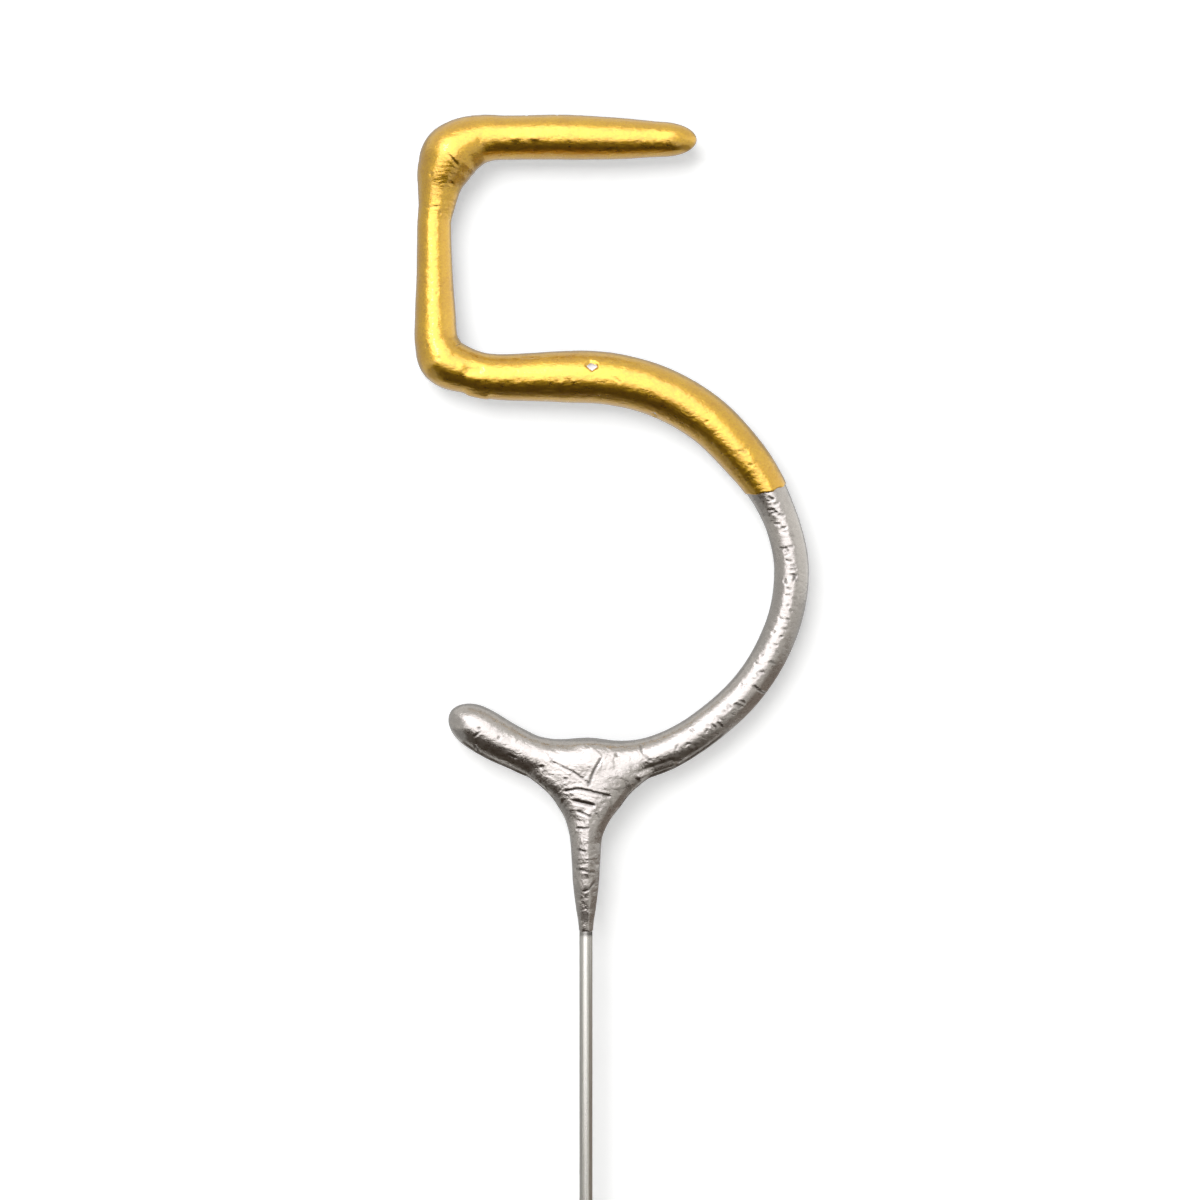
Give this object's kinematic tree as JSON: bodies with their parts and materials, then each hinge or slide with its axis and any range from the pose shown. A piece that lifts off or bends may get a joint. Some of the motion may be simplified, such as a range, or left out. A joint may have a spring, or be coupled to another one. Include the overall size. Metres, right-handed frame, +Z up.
{
  "type": "number sparkler",
  "caption": "Hand-held or cake-top sparkler bent into the numeral five: a wire stem carries a dipped bead, gold above and silver below.",
  "frame": {"origin": "centre of the stem's lower end, on the stem's axis", "axes": "+Z up along the stem, towards the numeral; -Y the way the numeral's face looks; +X to the right of the numeral as it is read"},
  "size_m": [0.0391, 0.0055, 0.1801],
  "materials": {
    "drawn_steel": "polished",
    "bent_steel": "satin",
    "weld_steel": "satin",
    "base_composition": "matte",
    "finish_composition": "matte",
    "silver_paint": "satin",
    "gold_paint": "satin"
  },
  "bodies": {
    "root": {"stem_wire": "drawn_steel", "numeral_wire": "bent_steel", "weld_nugget": "weld_steel", "base_dip": "base_composition", "finish_dip": "finish_composition", "silver_coat": "silver_paint", "gold_coat": "gold_paint"}
  },
  "joints": []
}
